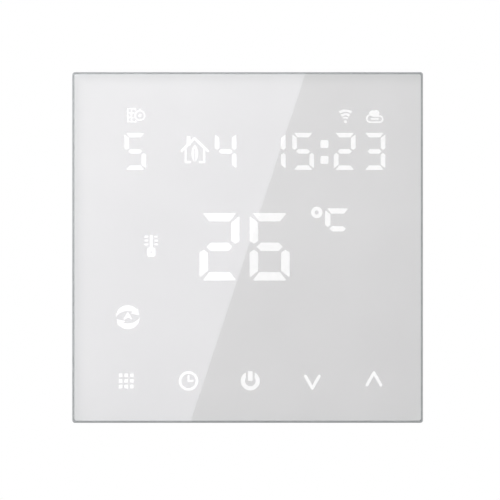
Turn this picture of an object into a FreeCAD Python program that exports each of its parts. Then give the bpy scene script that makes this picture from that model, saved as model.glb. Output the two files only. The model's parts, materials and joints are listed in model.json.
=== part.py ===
"""Square glass touch thermostat for a flush wall box.

Frame, in millimetres: X right, Y into the wall, Z up. The origin is the middle of the line between
the two wall screws, on the back face of the steel mounting plate, which lies on the wall (Y = 0).
The glass front faces -Y. The front unit pulls off the base along -Y.
"""
import FreeCAD, Part
import math
import os

Vector = FreeCAD.Vector

# ---- driving sizes ----
PANEL = 86.0                # outer width and height of the front unit
FRONT_DEPTH = 13.3          # how far the glass stands out from the wall
CASE_WIDTH = 50.0           # rear case, which goes into the wall box
CASE_DEPTH = 27.0           # how far the rear case reaches into the wall
SCREW_SPACING = 60.0        # wall box screws, centre to centre
RIM = 0.45                  # bezel showing round the glass
GLASS_THICK = 2.0
INK_THICK = 0.1
FILM_THICK = 0.2
TAPE_THICK = 0.3
BOARD_THICK = 1.2
COVER_THICK = 1.2
STEEL_THICK = 1.0
WALL = 1.7                  # bezel side wall
CASE_WALL = 1.5
GUIDE_DEPTH = 2.8           # reflector between the display board and the film

# ---- depth levels, from the wall outwards ----
Y_PLATE_FRONT = -STEEL_THICK
Y_LID_FRONT = Y_PLATE_FRONT - COVER_THICK
Y_COVER_BACK = Y_LID_FRONT - 0.2
Y_COVER_FRONT = Y_COVER_BACK - COVER_THICK
Y_GLASS_FRONT = -FRONT_DEPTH
Y_GLASS_BACK = Y_GLASS_FRONT + GLASS_THICK
Y_INK_BACK = Y_GLASS_BACK + INK_THICK
Y_TAPE_BACK = Y_INK_BACK + TAPE_THICK
Y_FILM_BACK = Y_INK_BACK + FILM_THICK
Y_BOARD_FRONT = Y_FILM_BACK + GUIDE_DEPTH
Y_BOARD_BACK = Y_BOARD_FRONT + BOARD_THICK
Y_LEDGE_BACK = Y_TAPE_BACK + 1.2
Y_BEZEL_BACK = -0.3

# ---- front unit, half widths ----
HALF = PANEL / 2
HALF_GLASS = HALF - RIM
HALF_INK = HALF_GLASS - 0.1
HALF_INSIDE = HALF - WALL
HALF_LIP = 41.9             # inner edge of the lip that carries the glass
HALF_LEDGE = 38.6           # inner edge of the ledge that carries the tape
HALF_GUIDE = 36.4
HALF_BOARD = 40.2
HALF_COVER = 40.9
BOSS_AT = 38.2              # screw bosses of the front unit, from the middle
BOSS_RADIUS = 2.2
BAR_CLEAR = 0.05            # gap between a snap barb and the steel rim
RIM_CHAMFER = 0.25          # front edge of the bezel, round the glass

# ---- steel plate ----
HALF_PLATE = 39.4
HALF_CUTOUT = 25.5
RIM_HALF_LENGTH = 30.0      # bent rims along the top and bottom edges
RIM_TOP = 3.4
SLOT_RADIUS = 2.1
SLOT_LENGTH = 7.0
SNAP_AT = 18.0              # snap barbs, left and right of the middle
SNAP_HALF = 3.5

# ---- base ----
HALF_LID = 30.0
PLATE_SCREW_AT = 27.6
HALF_CASE = CASE_WIDTH / 2
HALF_CAVITY = HALF_CASE - CASE_WALL
CASE_SCREWS = [(-22.3, 22.3), (22.3, 22.3), (-21.4, -8.5), (21.4, -8.5)]
CASE_POST_RADIUS = 2.2
STEP_Z = -12.2              # below this the case is shallow and the terminals stand free
STEP_DEPTH = 9.2
LABEL_RECESS = (38.0, 13.0, 0.3)    # sunk field for the label on the back: width, height, depth
LABEL_Z = -3.4
Y_POWER_FRONT = 4.0
Y_POWER_BACK = Y_POWER_FRONT + 1.6
SOCKET_Z = 16.0
PIN_PITCH = 2.54
PIN_COLUMNS = 5
PIN_WIDTH = 0.64

# ---- terminals ----
POLES = 6
POLE_PITCH = 7.5
BAR_TOP = 14.0              # top face of the fixed current bars
BAR_THICK = 0.8
WIRE_SPACE = 3.0            # room for a wire under the bar when the clamp is open
CLAMP_TRAVEL = 2.4
CLAMP_Z = -18.2
HOUSING_BOTTOM = -23.3
HOUSING_TOP = -12.4
Y_HOUSING_BACK = BAR_TOP + 6.8

# ---- relay ----
RELAY_X = 7.9
RELAY_Z = -2.5
RELAY_HALF_X = 10.3
RELAY_HALF_Z = 7.8
COIL_X = RELAY_X + 2.2
Y_CORE_TOP = 19.4
PIVOT_X = 16.3
ARMATURE_OPEN_DEG = 4.0

# ---- touch keys and display ----
KEY_X = [-29.75, -14.5, 0.65, 15.85, 30.95]
KEY_Z = -32.7
KEY_WELL_RADIUS = 3.4
BIG = {"width": 9.8, "height": 16.55, "bar": 2.06}
SMALL = {"width": 5.3, "height": 9.1, "bar": 1.12}
UNIT = {"width": 6.15, "height": 10.05, "bar": 1.3}
LIT = {"1": "bc", "2": "abged", "3": "abgcd", "4": "fgbc", "5": "afgcd", "6": "afgecd", "C": "afg"}


# ---- shape helpers: every outline lies in the XZ plane and is drawn out along Y ----
def block(x0, x1, y0, y1, z0, z1):
    return Part.makeBox(x1 - x0, y1 - y0, z1 - z0, Vector(x0, y0, z0))


def rod(x, z, radius, y0, y1):
    return Part.makeCylinder(radius, y1 - y0, Vector(x, y0, z), Vector(0, 1, 0))


def tube(x, z, outer, inner, y0, y1):
    return rod(x, z, outer, y0, y1).cut(rod(x, z, inner, y0, y1))


def cone(x, z, radius0, radius1, y0, y1):
    return Part.makeCone(radius0, radius1, y1 - y0, Vector(x, y0, z), Vector(0, 1, 0))


def prism(points, y0, y1):
    corners = [Vector(x, y0, z) for x, z in points]
    face = Part.Face(Part.makePolygon(corners + corners[:1]))
    return face.extrude(Vector(0, y1 - y0, 0))


def along_y(edge):
    direction = edge.tangentAt(edge.FirstParameter)
    return abs(direction.y) > 0.999


def plate(half_x, half_z, radius, y0, y1, x=0.0, z=0.0):
    slab = block(x - half_x, x + half_x, y0, y1, z - half_z, z + half_z)
    return slab.makeFillet(radius, [e for e in slab.Edges if along_y(e)])


def join(shapes):
    whole = shapes[0]
    if len(shapes) > 1:
        whole = whole.fuse(shapes[1:])
    return whole.removeSplitter()


def minus(shape, cutters):
    return shape.cut(cutters)


def group(shapes):
    solids = []
    for shape in shapes:
        solids.extend(shape.Solids)
    return Part.makeCompound(solids)


def stroke(points, width, y0, y1):
    """A line of constant width with round ends and corners."""
    half = width / 2
    pieces = [rod(x, z, half, y0, y1) for x, z in points]
    for (xa, za), (xb, zb) in zip(points, points[1:]):
        length = math.hypot(xb - xa, zb - za)
        dx = -(zb - za) / length * half
        dz = (xb - xa) / length * half
        corners = [(xa + dx, za + dz), (xa - dx, za - dz), (xb - dx, zb - dz), (xb + dx, zb + dz)]
        pieces.append(prism(corners, y0, y1))
    return join(pieces)


def arc_band(x, z, inner, outer, half_angle, y0, y1):
    """The part of a ring within half_angle of straight up."""
    ring = tube(x, z, outer, inner, y0, y1)
    reach = outer * 2
    side = reach * math.tan(math.radians(half_angle))
    wedge = prism([(x, z), (x + side, z + reach), (x - side, z + reach)], y0, y1)
    return ring.common(wedge)


def corners_at(reach):
    return [(x, z) for x in (-reach, reach) for z in (-reach, reach)]


def wall_screw_places():
    far = SCREW_SPACING / 2
    return [(-far, 0.0), (far, 0.0), (0.0, -far), (0.0, far)]


def cross_recess(x, z, y0, y1, arm=1.1, width=0.45):
    across = block(x - arm, x + arm, y0, y1, z - width / 2, z + width / 2)
    upright = block(x - width / 2, x + width / 2, y0, y1, z - arm, z + arm)
    return across.fuse(upright)


# ---- lit figures ----
def segment_outline(name, left, top, size):
    """Corner points of one bar of a seven-bar figure."""
    w, h, t = size["width"], size["height"], size["bar"]
    tip = 0.35 * t
    heel = 1.15 * t
    shoulder = 0.70 * t
    nose = 0.34 * t
    upright = [(0, -tip), (t, -heel), (t, shoulder - h / 2), (t / 2, nose - h / 2), (0, shoulder - h / 2)]
    bar = [(tip, 0), (w - tip, 0), (w - heel, -t), (heel, -t)]
    middle = [(0.82 * t, 0), (1.32 * t, t / 2), (w - 1.32 * t, t / 2), (w - 0.82 * t, 0),
              (w - 1.32 * t, -t / 2), (1.32 * t, -t / 2)]
    shapes = {
        "a": bar,
        "d": [(x, -h - z) for x, z in bar],
        "f": upright,
        "b": [(w - x, z) for x, z in upright],
        "e": [(x, -h - z) for x, z in upright],
        "c": [(w - x, -h - z) for x, z in upright],
        "g": [(x, z - h / 2) for x, z in middle],
    }
    return [(left + x, top + z) for x, z in shapes[name]]


def figure(sign, left, top, size, y0, y1):
    bars = []
    for name in LIT[sign]:
        bar = prism(segment_outline(name, left, top, size), y0, y1)
        bars.append(bar.makeFillet(0.09 * size["bar"], [e for e in bar.Edges if along_y(e)]))
    return bars


def temperature_figures(y0, y1):
    pieces = figure("2", -11.8, 8.45, BIG, y0, y1) + figure("6", 0.5, 8.45, BIG, y0, y1)
    pieces += figure("C", 19.0, 9.6, UNIT, y0, y1)
    return pieces + [tube(16.95, 8.6, 1.4, 0.5, y0, y1)]


def clock_figures(y0, y1):
    pieces = []
    for sign, left in (("1", 4.0), ("5", 10.95), ("2", 21.15), ("3", 28.45)):
        pieces += figure(sign, left, 28.1, SMALL, y0, y1)
    for z in (21.45, 25.35):
        pieces.append(plate(0.97, 0.97, 0.3, y0, y1, x=18.82, z=z))
    return pieces


def programme_figures(y0, y1):
    """Day of the week on the left and period of the day beside the house."""
    return figure("5", -30.2, 28.1, SMALL, y0, y1) + figure("4", -8.05, 28.1, SMALL, y0, y1)


def calendar_icon(y0, y1):
    left, bottom, right, top = -29.4, 30.8, -27.4, 34.0
    frame = stroke([(left, bottom), (right, bottom), (right, top), (left, top), (left, bottom)], 0.36, y0, y1)
    bars = [stroke([(left, z), (right, z)], 0.36, y0, y1) for z in (31.85, 32.95)]
    post = stroke([(-28.45, bottom), (-28.45, top)], 0.36, y0, y1)
    page = join([frame, post] + bars)
    clock_x, clock_z = -26.4, 32.35
    page = page.cut(rod(clock_x, clock_z, 1.55, y0, y1))
    button = block(clock_x - 0.25, clock_x + 0.25, y0, y1, clock_z + 1.2, clock_z + 1.7)
    clock = join([tube(clock_x, clock_z, 1.35, 0.95, y0, y1), button])
    return group([page, clock, rod(clock_x, clock_z, 0.42, y0, y1)])


def house_icon(y0, y1):
    roof = stroke([(-16.1, 23.75), (-13.05, 26.75), (-9.75, 23.65)], 0.62, y0, y1)
    left_wall = stroke([(-15.2, 24.0), (-15.2, 20.95), (-14.1, 20.95)], 0.52, y0, y1)
    right_wall = stroke([(-10.65, 24.0), (-10.65, 20.95), (-11.75, 20.95)], 0.52, y0, y1)
    chimney = block(-14.95, -13.95, y0, y1, 25.0, 27.35)
    shell = join([roof, left_wall, right_wall, chimney])
    leaf_x, leaf_z, half_width, half_height = -12.95, 23.0, 0.85, 2.25
    bow = (half_height ** 2 + half_width ** 2) / (2 * half_width)
    reach = bow - half_width
    leaf = rod(leaf_x + reach, leaf_z, bow, y0, y1).common(rod(leaf_x - reach, leaf_z, bow, y0, y1))
    vein = stroke([(leaf_x, leaf_z - 2.6), (leaf_x, leaf_z + 1.1)], 0.22, y0, y1)
    return group([shell, leaf.cut(vein)])


def wifi_icon(y0, y1):
    x, z = 23.96, 30.85
    bands = ((2.37, 3.0, 33), (1.5, 2.05, 35), (0.76, 1.2, 39))
    arcs = [arc_band(x, z, inner, outer, angle, y0, y1) for inner, outer, angle in bands]
    return group(arcs + [rod(x, z, 0.38, y0, y1)])


def cloud_icon(y0, y1):
    """A low cloud outline with a filled one rising behind it."""
    left, right, bottom = 30.1, 32.35, 30.5
    lobes = ((left, 31.6, 1.1), (right, 31.45, 0.95))

    def puff(shrink):
        rounds = [rod(x, z, radius - shrink, y0, y1) for x, z, radius in lobes]
        base = block(left, right, y0, y1, bottom + shrink, 32.4 - shrink)
        return join(rounds + [base])

    outline = puff(0.0).cut(puff(0.4))
    cap = join([rod(30.6, 32.75, 0.85, y0, y1), rod(31.5, 32.9, 0.8, y0, y1)]).cut(puff(0.2))
    bar = stroke([(30.35, 31.5), (31.95, 31.5)], 0.4, y0, y1)
    return group([join([outline, cap]), bar])


def thermometer_icon(y0, y1):
    x = -23.62
    stem = stroke([(x, 2.75), (x, -0.9)], 0.8, y0, y1)
    bulb = plate(1.05, 1.15, 0.6, y0, y1, x=x, z=-1.15)
    hole = rod(x, -1.15, 0.22, y0, y1)
    ticks = [
        stroke([(x + side * 0.98, z), (x + side * 1.42, z)], 0.54, y0, y1)
        for side in (-1, 1) for z in (2.65, 1.7, 0.75)
    ]
    return group([join([stem, bulb]).cut(hole)] + ticks)


def auto_icon(y0, y1):
    x, z = -29.36, -17.08
    crescent = rod(x, z, 2.95, y0, y1).cut(rod(x, z - 2.15, 3.69, y0, y1))
    crescent = crescent.common(block(x - 3.5, x + 2.45, y0, y1, z, z + 3.5))
    head = prism([(x + 0.6, z + 0.95), (x + 2.75, z + 0.45), (x + 2.5, z + 2.1)], y0, y1)
    upper = join([crescent, head])
    lower = upper.copy()
    lower.rotate(Vector(x, 0, z), Vector(0, 1, 0), 180)
    mark = stroke([(x - 0.8, z - 0.35), (x, z + 0.95), (x + 0.8, z - 0.35)], 0.48, y0, y1)
    bridge = stroke([(x - 0.5, z), (x + 0.5, z)], 0.4, y0, y1)
    return group([upper, lower, join([mark, bridge])])


def status_icons(y0, y1):
    makers = (calendar_icon, house_icon, wifi_icon, cloud_icon, thermometer_icon, auto_icon)
    return [maker(y0, y1) for maker in makers]


def menu_symbol(x, y0, y1):
    steps = (-1.38, 0.0, 1.38)
    return group([plate(0.45, 0.45, 0.15, y0, y1, x=x + dx, z=KEY_Z + dz) for dx in steps for dz in steps])


def timer_symbol(x, y0, y1):
    ring = tube(x, KEY_Z, 2.38, 1.76, y0, y1)
    hands = stroke([(x, KEY_Z + 1.25), (x, KEY_Z), (x + 1.05, KEY_Z)], 0.5, y0, y1)
    return group([ring, hands])


def power_symbol(x, y0, y1):
    ring = tube(x, KEY_Z, 2.34, 1.3, y0, y1)
    gap = block(x - 1.05, x + 1.05, y0, y1, KEY_Z, KEY_Z + 3)
    bar = plate(0.57, 1.2, 0.2, y0, y1, x=x, z=KEY_Z + 1.2)
    return group([ring.cut(gap), bar])


def arrow_symbol(x, direction, y0, y1):
    middle = KEY_Z - 0.3 if direction < 0 else KEY_Z + 0.5
    tip = middle + direction * 1.5
    foot = middle - direction * 1.5
    return stroke([(x - 1.7, foot), (x, tip), (x + 1.7, foot)], 0.72, y0, y1)


def key_symbols(y0, y1):
    menu, timer, power, down, up = KEY_X
    return [
        menu_symbol(menu, y0, y1),
        timer_symbol(timer, y0, y1),
        power_symbol(power, y0, y1),
        arrow_symbol(down, -1, y0, y1),
        arrow_symbol(up, 1, y0, y1),
    ]


def all_figures(y0, y1):
    makers = (temperature_figures, clock_figures, programme_figures, status_icons, key_symbols)
    return [shape for maker in makers for shape in maker(y0, y1)]


# ---- front unit ----
def glass_panel():
    slab = plate(HALF_GLASS, HALF_GLASS, 0.5, Y_GLASS_FRONT, Y_GLASS_BACK)
    front = [e for e in slab.Edges if e.BoundBox.YMax < Y_GLASS_FRONT + 0.01]
    return slab.makeChamfer(0.15, front)


def print_mask():
    sheet = plate(HALF_INK, HALF_INK, 0.5, Y_GLASS_BACK, Y_INK_BACK)
    cutters = [solid for shape in all_figures(Y_GLASS_BACK - 1, Y_INK_BACK + 1) for solid in shape.Solids]
    return minus(sheet, cutters)


def ink_windows(maker):
    return group(maker(Y_GLASS_BACK, Y_INK_BACK))


def glass_tape():
    outer = plate(HALF_LIP - 0.1, HALF_LIP - 0.1, 0.5, Y_INK_BACK, Y_TAPE_BACK)
    return outer.cut(plate(HALF_LEDGE, HALF_LEDGE, 0.5, Y_INK_BACK, Y_TAPE_BACK))


def diffuser_film():
    return plate(HALF_LEDGE - 0.4, HALF_LEDGE - 0.4, 1.0, Y_INK_BACK, Y_FILM_BACK)


def bezel_vents():
    slots = []
    for side in (-1, 1):
        for step in range(-6, 7):
            slots.append(block(step * 3.2 - 0.7, step * 3.2 + 0.7, -9.0, -4.0, side * 42.2 - 1.5, side * 42.2 + 1.5))
    return slots


def snap_barbs():
    barbs = []
    reach = HALF_PLATE + STEEL_THICK + BAR_CLEAR
    for side in (-1, 1):
        for x in (-SNAP_AT, SNAP_AT):
            z0, z1 = sorted((side * reach, side * (HALF_INSIDE + 0.3)))
            barbs.append(block(x - SNAP_HALF, x + SNAP_HALF, -2.6, -1.6, z0, z1))
    return barbs


def front_bezel():
    shell = plate(HALF, HALF, 0.7, Y_INK_BACK, Y_BEZEL_BACK)
    rear = [e for e in shell.Edges if e.BoundBox.YMin > Y_BEZEL_BACK - 0.01]
    shell = shell.makeChamfer(0.3, rear)
    front = [e for e in shell.Edges if e.BoundBox.YMax < Y_INK_BACK + 0.01]
    shell = shell.makeChamfer(RIM_CHAMFER, front)
    cutters = [
        plate(HALF_INSIDE, HALF_INSIDE, 1.0, Y_LEDGE_BACK, Y_BEZEL_BACK + 1),
        plate(HALF_LEDGE, HALF_LEDGE, 1.0, Y_INK_BACK - 1, Y_LEDGE_BACK + 1),
        plate(HALF_LIP, HALF_LIP, 0.5, Y_INK_BACK - 1, Y_TAPE_BACK),
        block(-4.0, 4.0, -1.6, Y_BEZEL_BACK + 1, -HALF - 1, -HALF_INSIDE + 1),
    ]
    shell = minus(shell, cutters + bezel_vents())
    bosses = [rod(x, z, BOSS_RADIUS, Y_TAPE_BACK, Y_BOARD_FRONT) for x, z in corners_at(BOSS_AT)]
    shell = join([shell] + bosses + snap_barbs())
    pilots = [rod(x, z, 0.95, Y_TAPE_BACK + 0.4, Y_BOARD_FRONT + 1) for x, z in corners_at(BOSS_AT)]
    return minus(shell, pilots)


def icon_wells():
    """One rectangular light well behind each status icon: left, right, bottom, top."""
    wells = (
        (-30.0, -24.7, 30.3, 34.5), (-16.9, -9.0, 20.2, 27.8), (22.0, 25.9, 30.1, 34.3),
        (28.6, 33.6, 30.2, 34.1), (-25.5, -21.8, -2.7, 3.5), (-32.7, -26.0, -20.4, -13.8),
    )
    return wells


def light_guide():
    slab = plate(HALF_GUIDE, HALF_GUIDE, 0.5, Y_FILM_BACK, Y_BOARD_FRONT)
    y0, y1 = Y_FILM_BACK - 1, Y_BOARD_FRONT + 1
    cutters = [rod(x, KEY_Z, KEY_WELL_RADIUS, y0, y1) for x in KEY_X]
    cutters += [block(x0, x1, y0, y1, z0, z1) for x0, x1, z0, z1 in icon_wells()]
    for maker in (temperature_figures, clock_figures, programme_figures):
        cutters += maker(y0, y1)
    cutters.append(rod(16.95, 8.6, 1.4, y0, y1))
    return minus(slab, cutters)


def light_places():
    """Centre of each lit bar or icon, and whether the light stands upright there."""
    places = []
    for maker in (temperature_figures, clock_figures, programme_figures):
        for shape in maker(0.0, 1.0):
            box = shape.BoundBox
            places.append((box.Center.x, box.Center.z, box.ZLength > box.XLength * 1.1))
    for x0, x1, z0, z1 in icon_wells():
        places.append(((x0 + x1) / 2, (z0 + z1) / 2, False))
    for x in KEY_X:
        places.append((x, KEY_Z, False))
    return places


def segment_lights():
    lights = []
    for x, z, upright in light_places():
        half_x, half_z = (0.4, 0.6) if upright else (0.6, 0.4)
        lights.append(block(x - half_x, x + half_x, Y_BOARD_FRONT - 0.5, Y_BOARD_FRONT, z - half_z, z + half_z))
    return group(lights)


def coil_spring(x, z, radius, wire, turns, y0, y1):
    """Round wire wound as tilted half circles, which meet with level tangents."""
    rise = (y1 - y0 - 2 * wire) / (2 * turns)
    level = y0 + wire
    side = 1
    halves = []
    for _ in range(2 * turns):
        start = Vector(x + side * radius, level, z)
        middle = Vector(x, level + rise / 2, z)
        axis = (middle - start).cross(Vector(0, 0, side))
        section = Part.Face(Part.Wire(Part.makeCircle(wire, start, Vector(0, 0, 1))))
        halves.append(section.revolve(middle, axis, 180))
        level += rise
        side = -side
    return halves[0].fuse(halves[1:])


def touch_springs():
    return group([coil_spring(x, KEY_Z, 2.9, 0.2, 3, Y_FILM_BACK, Y_BOARD_FRONT) for x in KEY_X])


def pin_places():
    places = []
    for column in range(PIN_COLUMNS):
        x = (column - (PIN_COLUMNS - 1) / 2) * PIN_PITCH
        places += [(x, SOCKET_Z - PIN_PITCH / 2), (x, SOCKET_Z + PIN_PITCH / 2)]
    return places


def pin_blocks(width, y0, y1):
    half = width / 2
    return [block(x - half, x + half, y0, y1, z - half, z + half) for x, z in pin_places()]


def display_board():
    sheet = plate(HALF_BOARD, HALF_BOARD, 1.0, Y_BOARD_FRONT, Y_BOARD_BACK)
    holes = [rod(x, z, 1.1, Y_BOARD_FRONT - 1, Y_BOARD_BACK + 1) for x, z in corners_at(BOSS_AT)]
    return minus(sheet, holes + pin_blocks(0.8, Y_BOARD_FRONT - 1, Y_BOARD_BACK + 1))


def board_header():
    body = block(-6.35, 6.35, Y_BOARD_BACK, Y_BOARD_BACK + 2.5, SOCKET_Z - 2.54, SOCKET_Z + 2.54)
    return minus(body, pin_blocks(0.7, Y_BOARD_BACK - 1, Y_BOARD_BACK + 4))


def header_pins():
    return group(pin_blocks(PIN_WIDTH, Y_BOARD_FRONT + 0.1, 1.6))


def wifi_module():
    return plate(8.0, 9.0, 0.3, Y_BOARD_BACK, Y_BOARD_BACK + 0.8, x=-21.0, z=20.0)


def wifi_shield():
    y0 = Y_BOARD_BACK + 0.8
    can = plate(6.6, 6.2, 0.6, y0, y0 + 1.9, x=-21.0, z=17.9)
    return can.cut(plate(6.4, 6.0, 0.4, y0, y0 + 1.7, x=-21.0, z=17.9))


def chip(half_x, half_z, height, x, z):
    return plate(half_x, half_z, 0.3, Y_BOARD_BACK + 0.1, Y_BOARD_BACK + 0.1 + height, x=x, z=z)


def room_sensor():
    x, z = -24.0, -38.6
    bead = Part.makeSphere(1.1, Vector(x, Y_BOARD_BACK + 1.8, z))
    leads = []
    for side in (-1, 1):
        lead_x = x + side * 0.45
        leads.append(Part.makeCylinder(0.2, 1.8, Vector(lead_x, Y_BOARD_BACK, z), Vector(0, 1, 0)))
    return join([bead] + leads)


def inner_cover():
    y0, y1 = Y_COVER_FRONT, Y_COVER_BACK
    sheet = plate(HALF_COVER, HALF_COVER, 1.0, y0, y1)
    domes = [rod(x, z, 6.8, y0 - 1.8, y0 + 0.5) for x, z in wall_screw_places()]
    posts = [rod(x, z, BOSS_RADIUS, Y_BOARD_BACK, y0 + 0.5) for x, z in corners_at(BOSS_AT)]
    cutters = [rod(x, z, 5.8, y0 - 1.0, y1 + 1) for x, z in wall_screw_places()]
    for side in (-1, 1):
        z0, z1 = sorted((side * (HALF_PLATE - 0.3), side * (HALF_COVER + 1)))
        cutters.append(block(-RIM_HALF_LENGTH - 0.6, RIM_HALF_LENGTH + 0.6, y0 - 1, y1 + 1, z0, z1))
    for x, z in corners_at(BOSS_AT):
        cutters.append(rod(x, z, 2.05, y1 - 1.1, y1 + 1))
        cutters.append(rod(x, z, 1.05, Y_BOARD_BACK - 1, y1))
    cutters.append(block(-7.2, 7.2, y0 - 1, y1 + 1, SOCKET_Z - 3.6, SOCKET_Z + 3.6))
    for step in range(-4, 5):
        x = step * 2.6
        cutters.append(block(x - 0.6, x + 0.6, y0 - 1, y1 + 1, -20.0, -12.0))
    return minus(join([sheet] + domes + posts), cutters)


def cover_screws():
    screws = []
    y_head = Y_COVER_BACK - 1.1
    for x, z in corners_at(BOSS_AT):
        head = rod(x, z, 1.9, y_head, Y_COVER_BACK - 0.1)
        shank = rod(x, z, 0.9, Y_TAPE_BACK + 0.6, y_head + 0.2)
        screw = join([head, shank])
        screws.append(screw.cut(cross_recess(x, z, y_head + 0.4, Y_COVER_BACK)))
    return group(screws)


# ---- base ----
def wall_slots(y0, y1):
    slots = []
    straight = SLOT_LENGTH / 2 - SLOT_RADIUS
    for x, z in wall_screw_places():
        dx, dz = (straight, 0.0) if z == 0 else (0.0, straight)
        slots.append(stroke([(x - dx, z - dz), (x + dx, z + dz)], 2 * SLOT_RADIUS, y0, y1))
    return slots


def mounting_plate():
    sheet = plate(HALF_PLATE, HALF_PLATE, 3.0, Y_PLATE_FRONT, 0.0)
    rims = []
    windows = []
    for side in (-1, 1):
        z0, z1 = sorted((side * HALF_PLATE, side * (HALF_PLATE + STEEL_THICK)))
        rims.append(block(-RIM_HALF_LENGTH, RIM_HALF_LENGTH, -RIM_TOP, 0.0, z0, z1))
        for x in (-SNAP_AT, SNAP_AT):
            windows.append(block(x - SNAP_HALF - 0.7, x + SNAP_HALF + 0.7, -2.8, -1.4, z0 - 1, z1 + 1))
    cutters = [plate(HALF_CUTOUT, HALF_CUTOUT, 1.5, -2.0, 1.0)] + wall_slots(-2.0, 1.0) + windows
    cutters += [rod(x, z, 1.3, -2.0, 1.0) for x, z in corners_at(PLATE_SCREW_AT)]
    return minus(join([sheet] + rims), cutters)


def countersunk_screw(x, z, y_front, shank, y_tip):
    head = cone(x, z, 1.9, shank, y_front, y_front + 1.9 - shank)
    screw = join([head, rod(x, z, shank, y_front + 0.5, y_tip)])
    return screw.cut(cross_recess(x, z, y_front - 1, y_front + 0.5))


def countersunk_hole(x, z, y_front, shank, y_tip):
    clear = 0.08
    head = cone(x, z, 1.9 + clear, shank + clear, y_front, y_front + 1.9 - shank)
    return head.fuse(rod(x, z, shank + clear, y_front, y_tip))


def case_lid():
    sheet = plate(HALF_LID, HALF_LID, 2.0, Y_LID_FRONT, Y_PLATE_FRONT)
    pegs = [rod(x, z, 1.3, Y_PLATE_FRONT - 0.5, Y_POWER_FRONT) for x in (-20.6, 20.6) for z in (-18.5, 12.0)]
    cutters = []
    for x, z in wall_screw_places():
        cutters.append(plate(4.8 if z == 0 else 6.2, 6.2 if z == 0 else 4.8, 1.0, -3.0, 0.0, x=x, z=z))
    cutters += [countersunk_hole(x, z, Y_LID_FRONT, 1.2, 0.0) for x, z in corners_at(PLATE_SCREW_AT)]
    cutters += [countersunk_hole(x, z, Y_LID_FRONT, 0.95, 0.0) for x, z in CASE_SCREWS]
    cutters.append(block(-6.9, 6.9, -3.0, 0.0, SOCKET_Z - 3.1, SOCKET_Z + 3.1))
    return minus(join([sheet] + pegs), cutters)


def plate_screws():
    return group([countersunk_screw(x, z, Y_LID_FRONT, 1.2, -0.05) for x, z in corners_at(PLATE_SCREW_AT)])


def case_screws():
    return group([countersunk_screw(x, z, Y_LID_FRONT, 0.95, 6.0) for x, z in CASE_SCREWS])


def rear_case():
    y0 = Y_PLATE_FRONT
    shell = plate(HALF_CASE, HALF_CASE, 1.5, y0, CASE_DEPTH)
    shell = shell.cut(block(-30, 30, STEP_DEPTH, CASE_DEPTH + 1, -30, STEP_Z))
    rear = [e for e in shell.Edges if e.BoundBox.YMin > CASE_DEPTH - 0.01]
    shell = shell.makeChamfer(0.6, rear)
    shallow = block(-HALF_CAVITY, HALF_CAVITY, y0 - 1, STEP_DEPTH + 1, -HALF_CAVITY, STEP_Z - 0.1)
    deep = block(-HALF_CAVITY, HALF_CAVITY, y0 - 1, CASE_DEPTH - 1.6, STEP_Z + 1.6, HALF_CAVITY)
    throat = block(-HALF_CAVITY, HALF_CAVITY, y0 - 1, STEP_DEPTH - 1.6, -HALF_CAVITY, 0)
    shell = minus(shell, [shallow, deep, throat])
    posts = [rod(x, z, CASE_POST_RADIUS, y0, CASE_DEPTH - 1.0) for x, z in CASE_SCREWS]
    ribs = []
    for side in (-1, 1):
        x0, x1 = sorted((side * 21.9, side * (HALF_CAVITY + 0.3)))
        ribs.append(block(x0, x1, Y_POWER_BACK, CASE_DEPTH - 1.0, 7.0, 9.0))
    shell = join([shell] + posts + ribs)
    cutters = [rod(x, z, 1.05, y0 - 1, 7.0) for x, z in CASE_SCREWS]
    wide, high, sunk = LABEL_RECESS
    cutters.append(plate(wide / 2, high / 2, 0.8, CASE_DEPTH - sunk, CASE_DEPTH + 1, z=LABEL_Z))
    for step in range(6):
        x = -12.5 + step * 5.0
        cutters.append(block(x - 0.8, x + 0.8, CASE_DEPTH - 3, CASE_DEPTH + 1, 6.0, 19.0))
        cutters.append(block(x - 0.8, x + 0.8, 9.0, 22.0, HALF_CAVITY - 1, HALF_CASE + 1))
    return minus(shell, cutters)


def power_board():
    sheet = block(-23.2, 23.2, Y_POWER_FRONT, Y_POWER_BACK, -23.2, 23.2)
    y0, y1 = Y_POWER_FRONT - 1, Y_POWER_BACK + 1
    cutters = [rod(x, z, CASE_POST_RADIUS + 0.4, y0, y1) for x, z in CASE_SCREWS]
    for x in (-22.3, 22.3):
        cutters.append(block(x - 2.6, x + 2.6, y0, y1, 19.7, 24.9))
    for x in (-21.4, 21.4):
        side = 1 if x > 0 else -1
        x0, x1 = sorted((x, side * 24.0))
        cutters.append(block(x0, x1, y0, y1, -11.1, -5.9))
    for x in pole_places():
        cutters.append(block(x - 1.75, x + 1.75, y0, y1, -14.55, -13.45))
    return minus(sheet, cutters)


def board_socket():
    body = block(-6.35, 6.35, Y_LID_FRONT + 0.1, Y_POWER_FRONT, SOCKET_Z - 2.54, SOCKET_Z + 2.54)
    return minus(body, pin_blocks(0.9, Y_LID_FRONT - 1, Y_POWER_FRONT - 1.4))


# ---- relay ----
def relay_slab(y0, y1, shrink=0.0):
    return plate(RELAY_HALF_X - shrink, RELAY_HALF_Z - shrink, 0.8, y0, y1, x=RELAY_X, z=RELAY_Z)


def relay_base():
    return relay_slab(Y_POWER_BACK, Y_POWER_BACK + 2.0)


def relay_case():
    y0 = Y_POWER_BACK + 2.0
    return relay_slab(y0, 24.0).cut(relay_slab(y0 - 1, 23.2, shrink=0.8))


def relay_bobbin():
    flanges = [plate(4.9, 5.2, 0.5, y, y + 0.8, x=COIL_X, z=RELAY_Z) for y in (8.7, 17.8)]
    spool = rod(COIL_X, RELAY_Z, 2.7, 8.7, 18.6)
    return minus(join(flanges + [spool]), [rod(COIL_X, RELAY_Z, 2.05, 8.0, 19.0)])


def relay_winding():
    return tube(COIL_X, RELAY_Z, 4.6, 2.75, 9.55, 17.75)


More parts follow.
